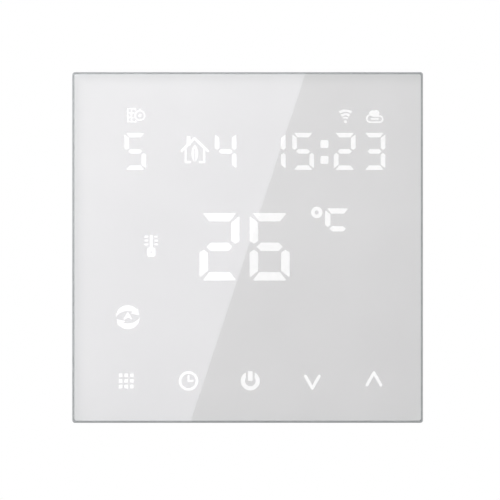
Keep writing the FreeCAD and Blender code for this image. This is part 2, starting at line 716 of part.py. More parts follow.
def relay_yoke():
    foot = block(COIL_X - 3.0, PIVOT_X + 0.1, 7.65, 8.65, RELAY_Z - 4.5, RELAY_Z + 4.5)
    leg = block(PIVOT_X - 1.1, PIVOT_X + 0.1, 7.65, Y_CORE_TOP, RELAY_Z - 4.5, RELAY_Z + 4.5)
    core = rod(COIL_X, RELAY_Z, 2.0, 7.65, Y_CORE_TOP)
    head = rod(COIL_X, RELAY_Z, 3.2, Y_CORE_TOP - 0.75, Y_CORE_TOP)
    return join([foot, leg, core, head])


def opened(shape):
    """Turn a relay part drawn closed to its rest position, with the contacts apart."""
    pivot = Vector(PIVOT_X, Y_CORE_TOP + 0.05, RELAY_Z)
    shape.rotate(pivot, Vector(0, 0, 1), -ARMATURE_OPEN_DEG)
    return shape


def relay_armature():
    y0 = Y_CORE_TOP + 0.05
    return opened(block(5.6, PIVOT_X, y0, y0 + 1.0, RELAY_Z - 4.4, RELAY_Z + 4.4))


def relay_moving_contact():
    y0 = Y_CORE_TOP + 1.05
    leaf = block(0.4, 14.0, y0, y0 + 0.3, RELAY_Z - 2.6, RELAY_Z + 2.6)
    button = rod(1.8, RELAY_Z, 1.2, y0 - 1.2, y0 + 0.1)
    return opened(join([leaf, button]))


def relay_fixed_contact():
    upright = block(-0.9, -0.3, Y_POWER_BACK + 2.05, 18.2, RELAY_Z - 2.0, RELAY_Z + 2.0)
    shelf = block(-0.9, 3.2, 17.6, 18.2, RELAY_Z - 2.0, RELAY_Z + 2.0)
    button = rod(1.8, RELAY_Z, 1.3, 18.1, 19.2)
    return join([upright, shelf, button])


# ---- power supply ----
TRANSFORMER_X = -12.5
TRANSFORMER_Z = -3.3


def transformer_block(half_x, half_z, y0, y1, offset=0.0):
    x = TRANSFORMER_X + offset
    z = TRANSFORMER_Z
    return block(x - half_x, x + half_x, y0, y1, z - half_z, z + half_z)


def transformer_core():
    body = transformer_block(6.5, 3.0, 7.1, 18.1)
    windows = [transformer_block(1.7, 4.0, 8.7, 16.5, offset) for offset in (-3.3, 3.3)]
    return minus(body, windows)


def transformer_bobbin():
    base = transformer_block(6.5, 6.3, Y_POWER_BACK, 7.0)
    flanges = [transformer_block(4.9, 5.4, y, y + 0.6) for y in (8.75, 15.85)]
    spool = transformer_block(2.4, 3.9, 8.75, 16.45)
    tower = join(flanges + [spool]).cut(transformer_block(1.65, 3.05, 8.0, 17.0))
    ties = []
    for side in (-1, 1):
        z0, z1 = sorted((TRANSFORMER_Z + side * 4.2, TRANSFORMER_Z + side * 5.4))
        ties.append(block(TRANSFORMER_X - 4.9, TRANSFORMER_X + 4.9, 6.5, 9.0, z0, z1))
    return join([tower, base] + ties)


def transformer_winding():
    outer = plate(4.7, 5.2, 1.5, 9.4, 15.8, x=TRANSFORMER_X, z=TRANSFORMER_Z)
    return outer.cut(transformer_block(2.45, 3.95, 9.0, 16.5))


def can_capacitor(x, z, radius, y_top):
    body = rod(x, z, radius, Y_POWER_BACK, y_top)
    rims = [e for e in body.Edges if e.Length > radius * 6 and e.BoundBox.YLength < 0.01]
    return body.makeFillet(0.4, rims)


def film_capacitor():
    body = block(-19.6, -6.6, Y_POWER_BACK, 16.6, 5.4, 10.4)
    return body.makeFillet(0.4, [e for e in body.Edges if e.BoundBox.YMax > 16.5])


def varistor():
    disc = Part.makeCylinder(3.7, 3.2, Vector(0.8, Y_POWER_BACK + 4.3, 7.6), Vector(0, 0, 1))
    disc = disc.makeFillet(0.9, [e for e in disc.Edges if e.BoundBox.ZLength < 0.01])
    legs = [rod(0.8 + dx, 9.2, 0.4, Y_POWER_BACK, Y_POWER_BACK + 3.0) for dx in (-2.5, 2.5)]
    return join([disc] + legs)


def fuse():
    body = block(7.4, 15.8, Y_POWER_BACK, 13.4, 8.0, 12.0)
    return body.makeFillet(0.4, [e for e in body.Edges if e.BoundBox.YMax > 13.3])


# ---- screw terminals ----
def pole_places():
    return [(pole - (POLES - 1) / 2) * POLE_PITCH for pole in range(POLES)]


def terminal_housing():
    half = POLES * POLE_PITCH / 2
    body = block(-half, half, Y_POWER_BACK, Y_HOUSING_BACK, HOUSING_BOTTOM, HOUSING_TOP)
    ledge = BAR_TOP + 4.0
    clamp_floor = BAR_TOP - BAR_THICK - WIRE_SPACE - 1.0
    cutters = []
    for x in pole_places():
        cutters.append(block(x - 2.75, x + 2.75, clamp_floor, ledge, -21.6, -13.45))
        cutters.append(block(x - 2.4, x + 2.4, clamp_floor + 0.8, BAR_TOP - 0.4, HOUSING_BOTTOM - 1, -21.0))
        cutters.append(block(x - 1.75, x + 1.75, Y_POWER_BACK - 1, ledge, -14.55, -13.45))
        cutters.append(rod(x, CLAMP_Z, 1.75, ledge - 1, Y_HOUSING_BACK + 1))
        cutters.append(rod(x, CLAMP_Z, 2.55, ledge + 0.6, Y_HOUSING_BACK + 1))
    return minus(body, cutters)


def terminal_bars():
    bars = []
    for x in pole_places():
        shelf = block(x - 1.6, x + 1.6, BAR_TOP - BAR_THICK, BAR_TOP, -21.5, -13.6)
        leg = block(x - 1.6, x + 1.6, Y_POWER_FRONT - 0.6, BAR_TOP, -14.4, -13.6)
        bars.append(join([shelf, leg]))
    return group(bars)


def terminal_screw(x):
    y_head = BAR_TOP + 4.65
    head = rod(x, CLAMP_Z, 2.4, y_head, y_head + 1.75)
    shank = rod(x, CLAMP_Z, 1.5, BAR_TOP + 0.05, y_head + 0.2)
    slot = block(x - 3.0, x + 3.0, y_head + 1.05, y_head + 2.0, CLAMP_Z - 0.4, CLAMP_Z + 0.4)
    return join([head, shank]).cut(slot)


def terminal_clamp(x):
    """Rising clamp, drawn fully open."""
    wall = 0.8
    y0 = BAR_TOP - BAR_THICK - WIRE_SPACE - wall
    y1 = BAR_TOP + 1.4
    body = block(x - 2.6, x + 2.6, y0, y1, CLAMP_Z - 3.2, CLAMP_Z + 3.2)
    window = block(x - 1.8, x + 1.8, y0 + wall, BAR_TOP + 0.2, CLAMP_Z - 4, CLAMP_Z + 4)
    return minus(body, [window, rod(x, CLAMP_Z, 1.56, BAR_TOP, y1 + 1)])


NODES = {
    "glass_panel": glass_panel,
    "print_mask": print_mask,
    "temperature_windows": lambda: ink_windows(temperature_figures),
    "clock_windows": lambda: ink_windows(clock_figures),
    "programme_windows": lambda: ink_windows(programme_figures),
    "status_windows": lambda: ink_windows(status_icons),
    "key_windows": lambda: ink_windows(key_symbols),
    "glass_tape": glass_tape,
    "diffuser_film": diffuser_film,
    "front_bezel": front_bezel,
    "light_guide": light_guide,
    "segment_lights": segment_lights,
    "touch_springs": touch_springs,
    "display_board": display_board,
    "board_header": board_header,
    "header_pins": header_pins,
    "wifi_module": wifi_module,
    "wifi_shield": wifi_shield,
    "microcontroller": lambda: chip(5.0, 5.0, 1.4, 0.0, 2.0),
    "touch_chip": lambda: chip(5.0, 2.0, 1.5, -14.0, -20.0),
    "room_sensor": room_sensor,
    "inner_cover": inner_cover,
    "cover_screws": cover_screws,
    "mounting_plate": mounting_plate,
    "case_lid": case_lid,
    "plate_screws": plate_screws,
    "case_screws": case_screws,
    "rear_case": rear_case,
    "power_board": power_board,
    "board_socket": board_socket,
    "relay_base": relay_base,
    "relay_case": relay_case,
    "relay_bobbin": relay_bobbin,
    "relay_winding": relay_winding,
    "relay_yoke": relay_yoke,
    "relay_armature": relay_armature,
    "relay_moving_contact": relay_moving_contact,
    "relay_fixed_contact": relay_fixed_contact,
    "transformer_core": transformer_core,
    "transformer_bobbin": transformer_bobbin,
    "transformer_winding": transformer_winding,
    "input_capacitor": lambda: can_capacitor(-16.2, 16.6, 4.0, 20.0),
    "output_capacitor": lambda: can_capacitor(-7.2, 17.6, 3.15, 17.0),
    "film_capacitor": film_capacitor,
    "varistor": varistor,
    "fuse": fuse,
    "terminal_housing": terminal_housing,
    "terminal_bars": terminal_bars,
}


def main():
    os.makedirs("parts", exist_ok=True)
    shapes = {name: maker() for name, maker in NODES.items()}
    for number, x in enumerate(pole_places(), start=1):
        shapes[f"terminal_screw_{number}"] = terminal_screw(x)
        shapes[f"terminal_clamp_{number}"] = terminal_clamp(x)
    for name, shape in shapes.items():
        shape.exportStep(f"parts/{name}.step")
    print(len(shapes), "nodes")


main()
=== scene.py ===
"""Looks of the wall thermostat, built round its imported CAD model. Lengths are in metres."""
import json
import math

import bmesh
import bpy
from mathutils import Matrix, Vector

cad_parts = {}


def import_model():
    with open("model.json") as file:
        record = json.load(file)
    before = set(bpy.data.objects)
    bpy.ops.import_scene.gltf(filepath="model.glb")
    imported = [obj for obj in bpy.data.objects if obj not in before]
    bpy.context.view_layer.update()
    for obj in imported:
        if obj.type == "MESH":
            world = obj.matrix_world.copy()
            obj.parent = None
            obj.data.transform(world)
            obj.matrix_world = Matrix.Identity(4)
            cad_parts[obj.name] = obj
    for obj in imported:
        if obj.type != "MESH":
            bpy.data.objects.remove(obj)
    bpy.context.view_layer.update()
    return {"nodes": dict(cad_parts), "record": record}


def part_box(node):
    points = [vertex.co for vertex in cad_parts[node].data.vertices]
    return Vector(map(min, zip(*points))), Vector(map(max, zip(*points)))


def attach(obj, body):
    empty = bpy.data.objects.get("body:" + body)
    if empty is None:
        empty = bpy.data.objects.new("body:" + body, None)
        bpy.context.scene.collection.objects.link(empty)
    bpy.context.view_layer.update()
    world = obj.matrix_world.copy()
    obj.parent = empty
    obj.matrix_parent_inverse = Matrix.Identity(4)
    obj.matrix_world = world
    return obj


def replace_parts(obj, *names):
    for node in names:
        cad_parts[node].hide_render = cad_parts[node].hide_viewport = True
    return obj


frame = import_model()

# ---- camera and lights ----
CAMERA_DISTANCE = 1.0           # from the front of the glass
VIEW_WIDTH = 0.1223             # width that the camera sees at the glass
VIEW_CENTRE = (0.00058, -0.00062)   # x and z of the middle of the view
SENSOR = 36.0                   # in millimetres
CLIP = (0.05, 20.0)
CARD_DISTANCE = 1.2             # softbox in front of the glass; its edge is the diagonal in the glass
CARD_SIZE = (0.22, 0.36)
CARD_RADIANCE = 3.1
CARD_TINT = (0.98, 0.98, 1.05)      # the reflection is a little cool
DIAGONAL = ((-0.0141, -0.0430), (0.0143, 0.0430))   # foot and top of that line on the glass, x and z
LIGHTS = {                      # place, what it aims at, width and height, radiance
    "overhead": ((0, 0.2, 2.5), (0, 0.2, 0), (5.0, 5.0), 0.6),
    "key_light": ((-0.33, -0.37, 0.33), (0, 0, 0), (0.30, 0.30), 9.5),
    "right_fill": ((0.90, -0.15, 0.0), (0, 0, 0), (0.4, 0.7), 3.9),
    "back_light": ((0.7, 1.0, 0.6), (0, 0, 0), (0.7, 0.7), 5.5),
    "side_light": ((-1.1, 0.5, 0.3), (0, 0, 0), (0.5, 0.8), 3.5),
}
FLOOR_Z = -0.95                 # below the views from underneath
FLOOR_RADIUS = 8.0
FLOOR_GLOW = 0.22               # keeps the far floor pale
WORLD_SEEN = 1.0                # backdrop that the camera sees
WORLD_LIGHT = 0.155             # even light from all round

# ---- glass ----
GLASS_CORNER = 0.0005
GLASS_CHAMFER = 0.0001
AIR_GAP = 0.00002               # keeps a piece just off the face behind it

# ---- rear label ----
LABEL_HALF = (0.0187, 0.0062)
LABEL_CORNER = 0.0006
LABEL_SUNK = 0.0003             # depth of the field in the rear case
LABEL_Z = -0.0034
LABEL_MARGIN = 0.001            # from the paper's edge to the border
LABEL_ROW = 0.0042              # height of the row of numbers
LABEL_TICK = 0.0022             # line above each number
LABEL_NUMBER = 0.0028
PAPER_THICK = 0.00012
PRINT_THICK = 0.00002
LINE_WIDTH = 0.00018

# ---- numbers over the terminals ----
POLES = 6
NUMBER_HEIGHT = 0.0022
NUMBER_RAISED = 0.00003
NUMBER_Z = -0.0140

# ---- parts on the display board ----
LEG_THICK = 0.00013
LEG_WIDTH = 0.35                # share of the pitch
LEG_RISE = 0.45                 # where a leg leaves the chip, as a share of the chip's height
LEG_BEND = 0.0004               # where a leg turns down, turns out and ends, from the chip's side
LEG_HEEL = 0.0006
LEG_TOE = 0.0011
CONTROLLER_PITCH = 0.0008
TOUCH_CHIP_PITCH = 0.00127
CHIPS_IN_ROW = 5
CHIP_ROWS = (                   # first x, step in x, z
    (0.0085, 0.0028, 0.0070),
    (0.0085, 0.0028, 0.0040),
    (-0.0085, -0.0028, -0.0060),
    (-0.0068, 0.0032, -0.0085),
    (-0.0060, 0.0032, -0.0200),
)
CHIP_MIDDLE = 0.00023           # height over the board
CHIP_BODY = (0.0005, 0.00078, 0.00042)      # half length, width, thickness
CHIP_END = (0.0008, 0.0008, 0.00044)        # the same with the tinned ends
ANTENNA_TURNS = 7
ANTENNA_SIDE = 0.0012           # clear board beside it and towards the shield
ANTENNA_TIP = 0.0008            # clear board past its far end
ANTENNA_WIDTH = 0.0005
ANTENNA_THICK = 0.00003


# ---- node helpers ----
def new_material(name):
    material = bpy.data.materials.new(name)
    material.use_nodes = True
    material.node_tree.nodes.clear()
    return material


def add(material, kind, inputs=None, **settings):
    """One shader node. An input is a number, a colour or another node's output."""
    tree = material.node_tree
    made = tree.nodes.new(kind)
    for key, value in settings.items():
        setattr(made, key, value)
    for key, value in (inputs or {}).items():
        if isinstance(value, bpy.types.NodeSocket):
            tree.links.new(value, made.inputs[key])
        else:
            made.inputs[key].default_value = value
    return made


def place(material, stretch=(1, 1, 1)):
    where = add(material, "ShaderNodeTexCoord").outputs["Object"]
    if stretch == (1, 1, 1):
        return where
    return add(material, "ShaderNodeMapping", {"Vector": where, "Scale": stretch}).outputs["Vector"]


def noise(material, size, detail=3.0, stretch=(1, 1, 1)):
    """Random pattern whose features are about size metres across."""
    inputs = {"Vector": place(material, stretch), "Scale": 1 / size, "Detail": detail}
    return add(material, "ShaderNodeTexNoise", inputs).outputs["Fac"]


def between(material, factor, low, high, start=0.3, end=0.7):
    inputs = {"Value": factor, "From Min": start, "From Max": end, "To Min": low, "To Max": high}
    return add(material, "ShaderNodeMapRange", inputs).outputs["Result"]


def shades(material, factor, low, high, start=0.3, end=0.7):
    """Colour from low to high as the factor goes from start to end."""
    ramp = add(material, "ShaderNodeValToRGB", {"Fac": factor})
    ramp.color_ramp.elements[0].position = start
    ramp.color_ramp.elements[0].color = (*low, 1)
    ramp.color_ramp.elements[1].position = end
    ramp.color_ramp.elements[1].color = (*high, 1)
    return ramp.outputs["Color"]


def relief(material, height, depth, strength=1.0):
    inputs = {"Height": height, "Distance": depth, "Strength": strength}
    return add(material, "ShaderNodeBump", inputs).outputs["Normal"]


def calculate(material, operation, *numbers):
    inputs = dict(enumerate(numbers))
    return add(material, "ShaderNodeMath", inputs, operation=operation).outputs["Value"]


def output(material, shader):
    add(material, "ShaderNodeOutputMaterial", {"Surface": shader})
    return material


def mixed(material, share, first, second):
    """Two shaders in one surface; share is how much of the second shows."""
    inputs = {0: share, 1: first.outputs["BSDF"], 2: second.outputs["BSDF"]}
    return output(material, add(material, "ShaderNodeMixShader", inputs).outputs["Shader"])


def scaled(colour, factor):
    return tuple(min(1.0, c * factor) for c in colour)


def principled(material, colour, rough, normal, **plain):
    inputs = {"Base Color": colour, "Roughness": rough, "Normal": normal}
    for key, value in plain.items():
        inputs[key.replace("_", " ")] = value
    shader = add(material, "ShaderNodeBsdfPrincipled", inputs)
    return output(material, shader.outputs["BSDF"])


# ---- materials ----
def moulded(name, colour, rough, vary=0.04, grain=0.00012, depth=0.000006, **plain):
    """Moulded plastic: faint flow marks in the colour and a fine eroded texture."""
    material = new_material(name)
    flow = noise(material, 0.009, detail=2.0)
    texture = noise(material, grain, detail=2.0)
    colour_out = shades(material, flow, scaled(colour, 1 - vary), scaled(colour, 1 + vary))
    rough_out = between(material, texture, rough - 0.06, rough + 0.06)
    return principled(material, colour_out, rough_out, relief(material, texture, depth), **plain)


def metal(name, colour, rough, vary=0.08, stretch=(1, 1, 1), grain=0.0002, depth=0.000003):
    """Plated or brushed metal. Stretch below 1 along an axis draws the marks out along it."""
    material = new_material(name)
    patches = noise(material, 0.004, detail=4.0)
    marks = noise(material, grain, detail=3.0, stretch=stretch)
    colour_out = shades(material, patches, scaled(colour, 1 - vary), scaled(colour, 1 + vary))
    rough_out = between(material, marks, rough - 0.08, rough + 0.10)
    return principled(material, colour_out, rough_out, relief(material, marks, depth), Metallic=1.0)


def glass_pane():
    """Polished face: clear, with a mirror share outside that grows towards grazing."""
    material = new_material("glass_pane")
    film = noise(material, 0.015, detail=3.0)
    rough = between(material, film, 0.006, 0.012)
    tint = shades(material, film, (0.987, 0.986, 0.987), (0.996, 0.995, 0.996))
    clear = add(material, "ShaderNodeBsdfTransparent", {"Color": tint})
    mirror = add(material, "ShaderNodeBsdfGlossy", {"Roughness": rough})
    tilt = add(material, "ShaderNodeLayerWeight", {"Blend": 0.5}).outputs["Facing"]
    steep = calculate(material, "POWER", tilt, 5.0)
    mirrored = calculate(material, "MULTIPLY_ADD", steep, 0.96, 0.04)
    inside = add(material, "ShaderNodeNewGeometry").outputs["Backfacing"]
    outside = calculate(material, "SUBTRACT", 1.0, inside)
    share = calculate(material, "MULTIPLY", mirrored, outside)
    return mixed(material, share, clear, mirror)


def glass_back():
    """The face that the ink is printed on, where nothing is reflected."""
    material = new_material("glass_back")
    tint = shades(material, noise(material, 0.02), (0.991, 0.990, 0.991), (0.998, 0.997, 0.998))
    return output(material, add(material, "ShaderNodeBsdfTransparent", {"Color": tint}).outputs["BSDF"])


def glass_edge():
    """Ground edge of the glass: a thin satin grey skin that lets most of the light through."""
    material = new_material("glass_edge")
    grind = noise(material, 0.00008, detail=4.0)
    colour = shades(material, noise(material, 0.003), (0.44, 0.50, 0.48), (0.52, 0.58, 0.56))
    rough = between(material, grind, 0.22, 0.38)
    inputs = {"Base Color": colour, "Roughness": rough, "Normal": relief(material, grind, 0.000004)}
    skin = add(material, "ShaderNodeBsdfPrincipled", inputs)
    tint = shades(material, grind, (0.94, 0.955, 0.95), (0.97, 0.98, 0.975))
    clear = add(material, "ShaderNodeBsdfTransparent", {"Color": tint})
    return mixed(material, between(material, grind, 0.80, 0.86), skin, clear)


def printed_ink():
    """Screen-printed back coat, seen through the glass."""
    material = new_material("grey_ink")
    cloud = noise(material, 0.02, detail=2.0)
    speck = noise(material, 0.00015, detail=1.0)
    colour = shades(material, cloud, (0.777, 0.775, 0.776), (0.787, 0.785, 0.786))
    rough = between(material, speck, 0.75, 0.90)
    return principled(material, colour, rough, relief(material, speck, 0.000002))


def lit_ink():
    """Milky ink with the light behind it."""
    material = new_material("lit_ink")
    grain = noise(material, 0.0012, detail=2.0)
    light = between(material, grain, 0.99, 1.03)
    glow = add(material, "ShaderNodeEmission", {"Color": (1.0, 1.0, 1.0, 1.0), "Strength": light})
    return output(material, glow.outputs["Emission"])


def circuit_board():
    """Green solder mask with copper tracks and a ground plane showing under it."""
    material = new_material("circuit_board")
    where = place(material)
    cells = add(material, "ShaderNodeTexVoronoi", {"Vector": where, "Scale": 420.0, "Randomness": 0.35},
                distance="CHEBYCHEV", feature="DISTANCE_TO_EDGE").outputs["Distance"]
    tracks = between(material, cells, 0.0, 1.0, start=0.045, end=0.075)
    colour = shades(material, tracks, (0.012, 0.105, 0.045), (0.022, 0.190, 0.080), start=0.0, end=1.0)
    haze = noise(material, 0.0006, detail=3.0)
    rough = between(material, haze, 0.22, 0.34)
    return principled(material, colour, rough, relief(material, tracks, 0.00002))


def winding(name, colour, pitch, rough, **plain):
    """Turns of wire wound round Y. The colour is painted shade and highlight: darker in the grooves between
    turns and lighter on their crowns.
    """
    material = new_material(name)
    inputs = {"Vector": place(material), "Scale": 0.5 / pitch / 10, "Distortion": 0.3, "Detail": 1.0}
    turns = add(material, "ShaderNodeTexWave", inputs, bands_direction="Y", wave_profile="SIN").outputs["Fac"]
    # painted shade and highlight: the colour follows the bump of the turns, dark in the grooves and light on
    # the crowns
    colour_out = shades(material, turns, scaled(colour, 0.55), scaled(colour, 1.1), start=0.1, end=0.8)
    rough_out = between(material, noise(material, 0.0005), rough - 0.05, rough + 0.08)
    return principled(material, colour_out, rough_out, relief(material, turns, 0.00008), **plain)


def plate_steel():
    """Galvanised sheet: faint crystals in the zinc and long rolling marks."""
    material = new_material("plate_steel")
    where = place(material)
    inputs = {"Vector": where, "Scale": 420.0, "Randomness": 1.0}
    crystals = add(material, "ShaderNodeTexVoronoi", inputs).outputs["Color"]
    value = add(material, "ShaderNodeRGBToBW", {"Color": crystals}).outputs["Val"]
    rolled = noise(material, 0.0004, detail=3.0, stretch=(0.03, 1, 1))
    colour = shades(material, value, (0.63, 0.64, 0.65), (0.66, 0.67, 0.68), start=0.1, end=0.9)
    rough = between(material, value, 0.37, 0.41, start=0.1, end=0.9)
    return principled(material, colour, rough, relief(material, rolled, 0.000004), Metallic=1.0)


def label_paper():
    return moulded("label_paper", (0.72, 0.73, 0.73), 0.42, vary=0.02, grain=0.0004, depth=0.000004)


def print_black():
    return moulded("print_black", (0.03, 0.03, 0.032), 0.50, vary=0.2, grain=0.0002, depth=0.000002)


def print_white():
    return moulded("print_white", (0.82, 0.82, 0.80), 0.50, vary=0.04, grain=0.0002, depth=0.000002)


PLASTICS = {
    "foam_tape": dict(colour=(0.035, 0.035, 0.038), rough=0.85, vary=0.15, grain=0.0003, depth=0.00004),
    "film": dict(colour=(0.86, 0.86, 0.84), rough=0.50, vary=0.02),
    "bezel_plastic": dict(colour=(0.40, 0.41, 0.42), rough=0.34, vary=0.03, Coat_Weight=0.15),
    "white_reflector": dict(colour=(0.88, 0.88, 0.86), rough=0.55),
    "led": dict(colour=(0.90, 0.82, 0.42), rough=0.25, vary=0.10),
    "black_plastic": dict(colour=(0.020, 0.020, 0.022), rough=0.48, vary=0.12),
    "chip_epoxy": dict(colour=(0.022, 0.022, 0.024), rough=0.62, vary=0.15, depth=0.00001),
    "sensor_epoxy": dict(colour=(0.018, 0.018, 0.020), rough=0.25, vary=0.15),
    "cover_plastic": dict(colour=(0.77, 0.77, 0.76), rough=0.50, depth=0.00001),
    "case_plastic": dict(colour=(0.75, 0.75, 0.74), rough=0.48, depth=0.00001),
    "relay_shell": dict(colour=(0.018, 0.045, 0.20), rough=0.38, vary=0.08),
    "white_bobbin": dict(colour=(0.80, 0.77, 0.66), rough=0.45),
    "ferrite": dict(colour=(0.045, 0.045, 0.048), rough=0.55, vary=0.20, depth=0.00002),
    "capacitor_sleeve": dict(colour=(0.022, 0.030, 0.075), rough=0.30, vary=0.10),
    "film_box": dict(colour=(0.78, 0.56, 0.05), rough=0.36, vary=0.05),
    "blue_dip": dict(colour=(0.02, 0.09, 0.42), rough=0.30, vary=0.12, grain=0.0009, depth=0.00005),
    "fuse_box": dict(colour=(0.030, 0.030, 0.033), rough=0.42, vary=0.12),
    "terminal_green": dict(colour=(0.035, 0.26, 0.10), rough=0.40, vary=0.06),
}
METALS = {
    "spring_steel": dict(colour=(0.78, 0.76, 0.70), rough=0.22),
    "gold_pin": dict(colour=(0.95, 0.70, 0.30), rough=0.20),
    "tin_can": dict(colour=(0.72, 0.73, 0.74), rough=0.30, stretch=(0.05, 1, 1)),
    "screw_steel": dict(colour=(0.70, 0.71, 0.73), rough=0.26),
    "soft_iron": dict(colour=(0.58, 0.58, 0.56), rough=0.34, stretch=(1, 0.1, 1)),
    "contact_metal": dict(colour=(0.80, 0.50, 0.30), rough=0.30, stretch=(0.1, 1, 1)),
    "terminal_metal": dict(colour=(0.72, 0.72, 0.69), rough=0.32, stretch=(1, 0.1, 1)),
    "terminal_screw_steel": dict(colour=(0.72, 0.73, 0.76), rough=0.24),
}
WINDINGS = {
    "copper_wire": dict(colour=(0.60, 0.22, 0.07), pitch=0.00016, rough=0.30, Coat_Weight=0.4),
    "yellow_tape": dict(colour=(0.78, 0.56, 0.06), pitch=0.0011, rough=0.32, Coat_Weight=0.2),
}
FAMILIES = ((moulded, PLASTICS), (metal, METALS), (winding, WINDINGS))


def make_materials():
    """One material for each slot of the record, by the slot's name."""
    materials = {
        "front_glass": glass_back(),
        "grey_ink": printed_ink(),
        "lit_ink": lit_ink(),
        "circuit_board": circuit_board(),
        "plate_steel": plate_steel(),
    }
    for make, family in FAMILIES:
        for slot, values in family.items():
            materials[slot] = make(slot, **values)
    return materials


def paint_cad_nodes(materials):
    """Each CAD node takes the material of the slot that the record gives it."""
    for part in frame["record"]["subparts"]:
        node = frame["nodes"][part["node"]]
        node.data.materials.clear()
        node.data.materials.append(materials[part["material_slot"]])


# ---- mesh helpers ----
def rounded_rectangle(half_x, half_z, radius, y, z=0.0, steps=6):
    """Points of a rectangle with rounded corners, round the Y axis."""
    points = []
    for quarter in range(4):
        side_x = 1 if quarter in (0, 3) else -1
        side_z = 1 if quarter in (0, 1) else -1
        for step in range(steps + 1):
            angle = math.radians(90 * (quarter + step / steps))
            across = side_x * (half_x - radius) + radius * math.cos(angle)
            up = side_z * (half_z - radius) + radius * math.sin(angle)
            points.append((across, y, z + up))
    return points


def loft(shape, rings, skins):
    """Closed body through rings of points. skins gives the material of the front, side and back."""
    front, side, back = skins
    made = [[shape.verts.new(p) for p in ring] for ring in rings]
    for near, far in zip(made, made[1:]):
        for i in range(len(near)):
            j = (i + 1) % len(near)
            shape.faces.new((near[i], near[j], far[j], far[i])).material_index = side
    shape.faces.new(made[0]).material_index = front
    shape.faces.new(made[-1]).material_index = back


def strip(shape, path, across, width, thick, skin=0):
    """Flat strip that follows a path. across is the direction of its width."""
    across = Vector(across)
    points = [Vector(p) for p in path]
    steps = [(b - a).normalized() for a, b in zip(points, points[1:])]
    rings = []
    for i, point in enumerate(points):
        before = steps[max(i - 1, 0)]
        after = steps[min(i, len(steps) - 1)]
        up = (before + after).normalized().cross(across)
        up *= thick / 2 / up.dot(before.cross(across))
        side = across * width / 2
        corners = (point - side - up, point + side - up, point + side + up, point - side + up)
        rings.append(corners)
    loft(shape, rings, (skin, skin, skin))


def lettering(shape, text, height, place_at, thick):
    """Numbers as raised print on a face that looks along +Y."""
    curve = bpy.data.curves.new("print", "FONT")
    curve.body = text
    curve.size = height
    curve.extrude = thick / 2
    curve.align_x = "CENTER"
    curve.align_y = "CENTER"
    holder = bpy.data.objects.new("print", curve)
    mesh = bpy.data.meshes.new_from_object(holder)
    turn = Matrix(((-1, 0, 0), (0, 0, 1), (0, 1, 0))).to_4x4()
    mesh.transform(Matrix.Translation(place_at) @ turn)
    shape.from_mesh(mesh)
    bpy.data.objects.remove(holder)
    bpy.data.curves.remove(curve)
    bpy.data.meshes.remove(mesh)


def new_piece(name, shape, body, materials):
    """Turns a finished bmesh into a piece that rides on a body."""
    bmesh.ops.recalc_face_normals(shape, faces=shape.faces)
    mesh = bpy.data.meshes.new(name)
    shape.to_mesh(mesh)
    shape.free()
    for material in materials:
        mesh.materials.append(material)
    piece = bpy.data.objects.new(name, mesh)
    bpy.context.scene.collection.objects.link(piece)
    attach(piece, body)
    return piece


# ---- pieces ----
def front_glass():
    """Glass with a chamfered front edge: polished faces and a ground edge."""
    low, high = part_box("glass_panel")
    half = high.x
    levels = (
        (half - GLASS_CHAMFER, low.y),
        (half, low.y + GLASS_CHAMFER),
        (half, high.y - AIR_GAP),
    )
    rings = [rounded_rectangle(reach, reach, GLASS_CORNER, y) for reach, y in levels]
    shape = bmesh.new()
    loft(shape, rings, (0, 1, 2))
    skins = [glass_pane(), glass_edge(), glass_back()]
    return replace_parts(new_piece("front_glass", shape, "front_unit", skins), "glass_panel")


def pole_places():
    """Where the six terminals stand, from the screws of the CAD model."""
    places = []
    for pole in range(1, POLES + 1):
        low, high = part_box(f"terminal_screw_{pole}")
        places.append((str(pole), (low.x + high.x) / 2))
    return places


def terminal_numbers():
    """White numbers printed over the terminal screws."""
    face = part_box("terminal_housing")[1].y
    shape = bmesh.new()
    for sign, x in pole_places():
        lettering(shape, sign, NUMBER_HEIGHT, (x, face + NUMBER_RAISED / 2, NUMBER_Z), NUMBER_RAISED)
    return new_piece("terminal_numbers", shape, "base", [print_white()])


def rear_label():
    """Paper label in the sunk field of the case."""
    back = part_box("rear_case")[1].y - LABEL_SUNK
    half_x, half_z = LABEL_HALF
    levels = (back + AIR_GAP, back + PAPER_THICK)
    rings = [rounded_rectangle(half_x, half_z, LABEL_CORNER, y, z=LABEL_Z) for y in levels]
    shape = bmesh.new()
    loft(shape, rings, (0, 0, 0))
    return new_piece("rear_label", shape, "base", [label_paper()])


def label_print():
    """Border on the label, with a numbered row for the six wires."""
    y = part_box("rear_case")[1].y - LABEL_SUNK + PAPER_THICK + PRINT_THICK / 2
    half_x, half_z = LABEL_HALF
    left, right = -half_x + LABEL_MARGIN, half_x - LABEL_MARGIN
    low, high = LABEL_Z - half_z + LABEL_MARGIN, LABEL_Z + half_z - LABEL_MARGIN
    row = low + LABEL_ROW
    lines = [[(left, z), (right, z)] for z in (low, high)]
    lines += [[(x, low), (x, high)] for x in (left, right)]
    lines.append([(left, row), (right, row)])
    gap = (right - left) / POLES
    lines += [[(left + i * gap, low), (left + i * gap, row)] for i in range(1, POLES)]
    shape = bmesh.new()
    for i, (sign, x) in enumerate(pole_places()):
        middle = left + (i + 0.5) * gap
        lines.append([(middle, row), (middle, row + LABEL_TICK)])
        lettering(shape, sign, LABEL_NUMBER, (middle, y, (low + row) / 2), PRINT_THICK)
    for path in lines:
        strip(shape, [(x, y, z) for x, z in path], (0, 1, 0), PRINT_THICK, LINE_WIDTH)
    return new_piece("label_print", shape, "base", [print_black()])


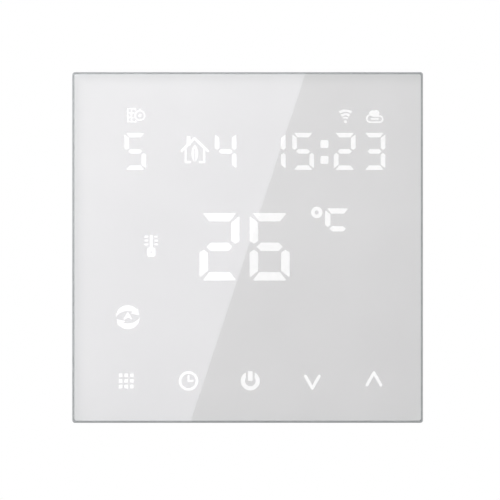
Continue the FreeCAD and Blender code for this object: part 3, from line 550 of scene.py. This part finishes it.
def chip_legs(name, node, pitch, count_x, count_z, tin):
    """Bent legs of a chip: count_z on each side that looks along X, count_x on the other two."""
    low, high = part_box(node)
    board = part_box("display_board")[1].y
    middle = (low + high) / 2
    shoulder = board + LEG_RISE * (high.y - board)
    foot = board + LEG_THICK / 2 + AIR_GAP
    steps = ((0.0, shoulder), (LEG_BEND, shoulder), (LEG_HEEL, foot), (LEG_TOE, foot))
    shape = bmesh.new()
    for out, along, count, reach in (
        (Vector((1, 0, 0)), Vector((0, 0, 1)), count_z, high.x - middle.x),
        (Vector((0, 0, 1)), Vector((1, 0, 0)), count_x, high.z - middle.z),
    ):
        for side in (-1, 1):
            for i in range(count):
                start = middle + along * (i - (count - 1) / 2) * pitch
                path = []
                for extra, y in steps:
                    point = start + out * side * (reach + extra)
                    path.append((point.x, y, point.z))
                strip(shape, path, along, LEG_WIDTH * pitch, LEG_THICK)
    return new_piece(name, shape, "front_unit", [tin])


def small_parts(materials):
    """Chip resistors and capacitors between the controller and its neighbours."""
    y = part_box("display_board")[1].y + AIR_GAP + CHIP_MIDDLE
    half, width, thick = CHIP_BODY
    reach, end_width, end_thick = CHIP_END
    shape = bmesh.new()
    for i in range(CHIPS_IN_ROW):
        for first, step, z in CHIP_ROWS:
            x = first + step * i
            strip(shape, [(x - half, y, z), (x + half, y, z)], (0, 0, 1), width, thick)
            for side in (-1, 1):
                ends = [(x + side * half, y, z), (x + side * reach, y, z)]
                strip(shape, ends, (0, 0, 1), end_width, end_thick, skin=1)
    skins = [materials["chip_epoxy"], materials["tin_can"]]
    return new_piece("small_parts", shape, "front_unit", skins)


def antenna(gold):
    """Printed aerial that winds to and fro at the free end of the wireless module."""
    low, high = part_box("wifi_module")
    y = high.y + AIR_GAP
    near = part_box("wifi_shield")[1].z + ANTENNA_SIDE
    far = high.z - ANTENNA_TIP
    pitch = (high.x - low.x - 2 * ANTENNA_SIDE) / ANTENNA_TURNS
    path = []
    for i in range(ANTENNA_TURNS + 1):
        x = low.x + ANTENNA_SIDE + i * pitch
        ends = (near, far) if i % 2 == 0 else (far, near)
        path += [(x, y, z) for z in ends]
    shape = bmesh.new()
    strip(shape, path, (0, 1, 0), ANTENNA_THICK, ANTENNA_WIDTH)
    return new_piece("antenna", shape, "front_unit", [gold])


# ---- studio ----
def camera():
    data = bpy.data.cameras.new("camera")
    data.sensor_width = SENSOR
    data.lens = SENSOR * CAMERA_DISTANCE / VIEW_WIDTH
    data.clip_start = CLIP[0]
    data.clip_end = CLIP[1]
    seen = bpy.data.objects.new("camera", data)
    glass_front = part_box("glass_panel")[0].y
    seen.location = (VIEW_CENTRE[0], glass_front - CAMERA_DISTANCE, VIEW_CENTRE[1])
    seen.rotation_euler = (math.radians(90), 0, 0)
    bpy.context.scene.collection.objects.link(seen)
    bpy.context.scene.camera = seen


def softbox(name, place_at, aim, size, radiance):
    """Rectangular area light of a given radiance, which the camera doesn't see."""
    data = bpy.data.lights.new(name, "AREA")
    data.shape = "RECTANGLE"
    data.size, data.size_y = size
    data.energy = radiance * math.pi * size[0] * size[1]
    light = bpy.data.objects.new(name, data)
    light.location = place_at
    light.rotation_mode = "QUATERNION"
    light.rotation_quaternion = (Vector(aim) - Vector(place_at)).to_track_quat("-Z", "Y")
    light.visible_camera = False
    bpy.context.scene.collection.objects.link(light)
    return light


def diagonal_card():
    """Softbox whose right edge is mirrored as the diagonal line in the glass."""
    glass_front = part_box("glass_panel")[0].y
    spread = CARD_DISTANCE / CAMERA_DISTANCE
    ends = []
    for x, z in DIAGONAL:
        ends.append(Vector((x + (x - VIEW_CENTRE[0]) * spread, 0, z + (z - VIEW_CENTRE[1]) * spread)))
    along = (ends[1] - ends[0]).normalized()
    left = Vector((-along.z, 0, along.x))
    centre = (ends[0] + ends[1]) / 2 + left * CARD_SIZE[0] / 2
    centre.y = glass_front - CARD_DISTANCE
    light = softbox("diagonal_card", centre, centre + Vector((0, 1, 0)), CARD_SIZE, CARD_RADIANCE)
    turn = Matrix((-left, along, Vector((0, -1, 0)))).transposed()
    light.rotation_quaternion = turn.to_quaternion()
    light.data.color = CARD_TINT


def world():
    """White backdrop for the camera and a weaker even light for everything else."""
    sky = bpy.data.worlds.new("world")
    sky.use_nodes = True
    tree = sky.node_tree
    tree.nodes.clear()
    ray = tree.nodes.new("ShaderNodeLightPath")
    seen = tree.nodes.new("ShaderNodeBackground")
    seen.inputs["Strength"].default_value = WORLD_SEEN
    seen.inputs["Color"].default_value = (1, 1, 1, 1)
    light = tree.nodes.new("ShaderNodeBackground")
    light.inputs["Strength"].default_value = WORLD_LIGHT
    light.inputs["Color"].default_value = (1.0, 1.0, 1.0, 1)
    mix = tree.nodes.new("ShaderNodeMixShader")
    out = tree.nodes.new("ShaderNodeOutputWorld")
    tree.links.new(ray.outputs["Is Camera Ray"], mix.inputs[0])
    tree.links.new(light.outputs["Background"], mix.inputs[1])
    tree.links.new(seen.outputs["Background"], mix.inputs[2])
    tree.links.new(mix.outputs["Shader"], out.inputs["Surface"])
    bpy.context.scene.world = sky


def floor():
    shape = bmesh.new()
    bmesh.ops.create_circle(shape, cap_ends=True, segments=96, radius=FLOOR_RADIUS)
    mesh = bpy.data.meshes.new("floor")
    shape.to_mesh(mesh)
    shape.free()
    paint = moulded("floor", (0.86, 0.86, 0.85), 0.75, vary=0.01, grain=0.002, Emission_Strength=FLOOR_GLOW)
    mesh.materials.append(paint)
    ground = bpy.data.objects.new("floor", mesh)
    ground.location = (0, 0, FLOOR_Z)
    bpy.context.scene.collection.objects.link(ground)


def studio():
    camera()
    world()
    floor()
    diagonal_card()
    for name, (place_at, aim, size, radiance) in LIGHTS.items():
        softbox(name, place_at, aim, size, radiance)


def main():
    bpy.context.scene.view_settings.view_transform = "Standard"
    materials = make_materials()
    paint_cad_nodes(materials)
    front_glass()
    terminal_numbers()
    rear_label()
    label_print()
    tin = materials["tin_can"]
    chip_legs("controller_legs", "microcontroller", CONTROLLER_PITCH, 11, 11, tin)
    chip_legs("touch_chip_legs", "touch_chip", TOUCH_CHIP_PITCH, 7, 0, tin)
    small_parts(materials)
    antenna(materials["gold_pin"])
    studio()


main()
